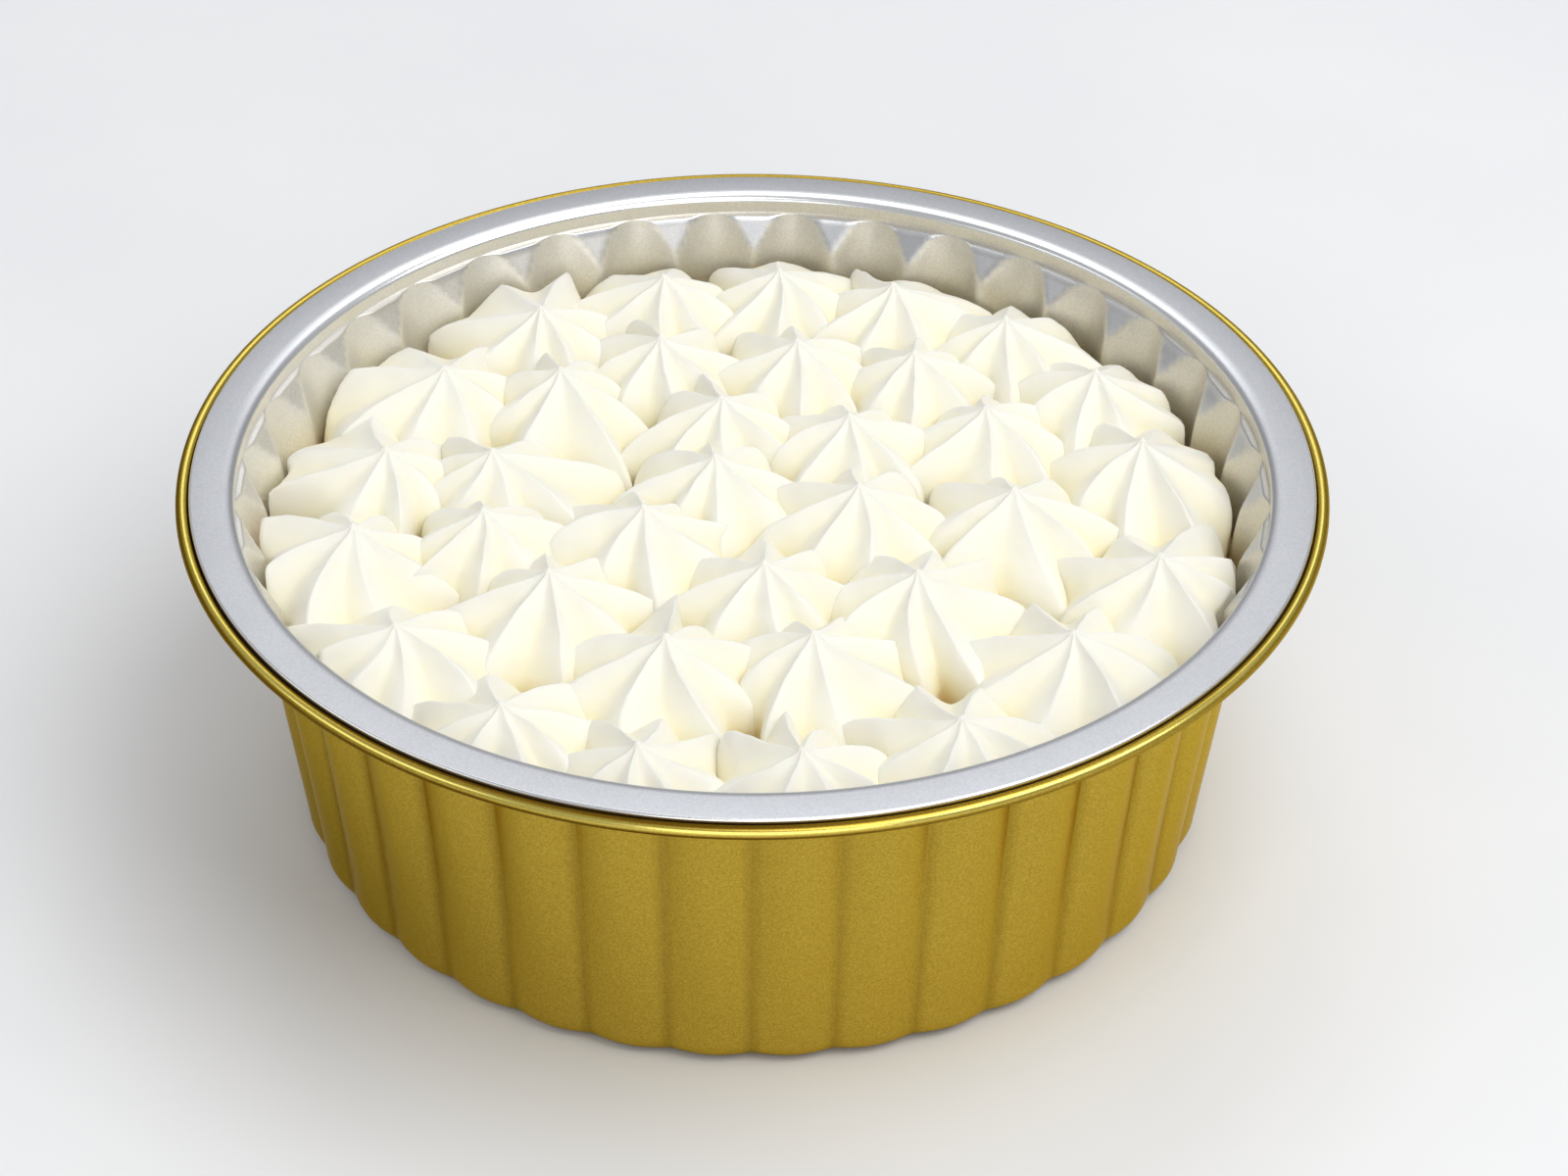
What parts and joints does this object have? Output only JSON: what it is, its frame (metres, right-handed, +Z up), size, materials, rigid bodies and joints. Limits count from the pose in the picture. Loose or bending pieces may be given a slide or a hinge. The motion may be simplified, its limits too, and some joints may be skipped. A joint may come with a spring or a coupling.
{
  "type": "cake with piped cream in a foil tin",
  "caption": "Round uncut cake in a fluted foil tin with a rolled rim, its top covered edge to edge with piped cream stars.",
  "frame": {"origin": "middle of the tin's flat underside", "axes": "+Z up along the tin's axis; -Y is the side seen from the front in the picture; +X to the right"},
  "size_m": [0.2, 0.2, 0.0671],
  "materials": {
    "gold_foil": "gold lacquer on rolled foil, satin with a fine grain",
    "silver_foil": "bare rolled foil, satin",
    "cream": "whipped cream, soft and slightly translucent",
    "sponge": "sponge crumb, matt"
  },
  "bodies": {
    "root": {"tin": "gold_foil", "cake": "sponge", "star_01": "cream", "star_02": "cream", "star_03": "cream", "star_04": "cream", "star_05": "cream", "star_06": "cream", "star_07": "cream", "star_08": "cream", "star_09": "cream", "star_10": "cream", "star_11": "cream", "star_12": "cream", "star_13": "cream", "star_14": "cream", "star_15": "cream", "star_16": "cream", "star_17": "cream", "star_18": "cream", "star_19": "cream", "star_20": "cream", "star_21": "cream", "star_22": "cream", "star_23": "cream", "star_24": "cream", "star_25": "cream", "star_26": "cream", "star_27": "cream", "star_28": "cream", "star_29": "cream", "star_30": "cream", "star_31": "cream", "star_32": "cream", "star_33": "cream", "star_34": "cream", "star_35": "cream"}
  },
  "joints": []
}
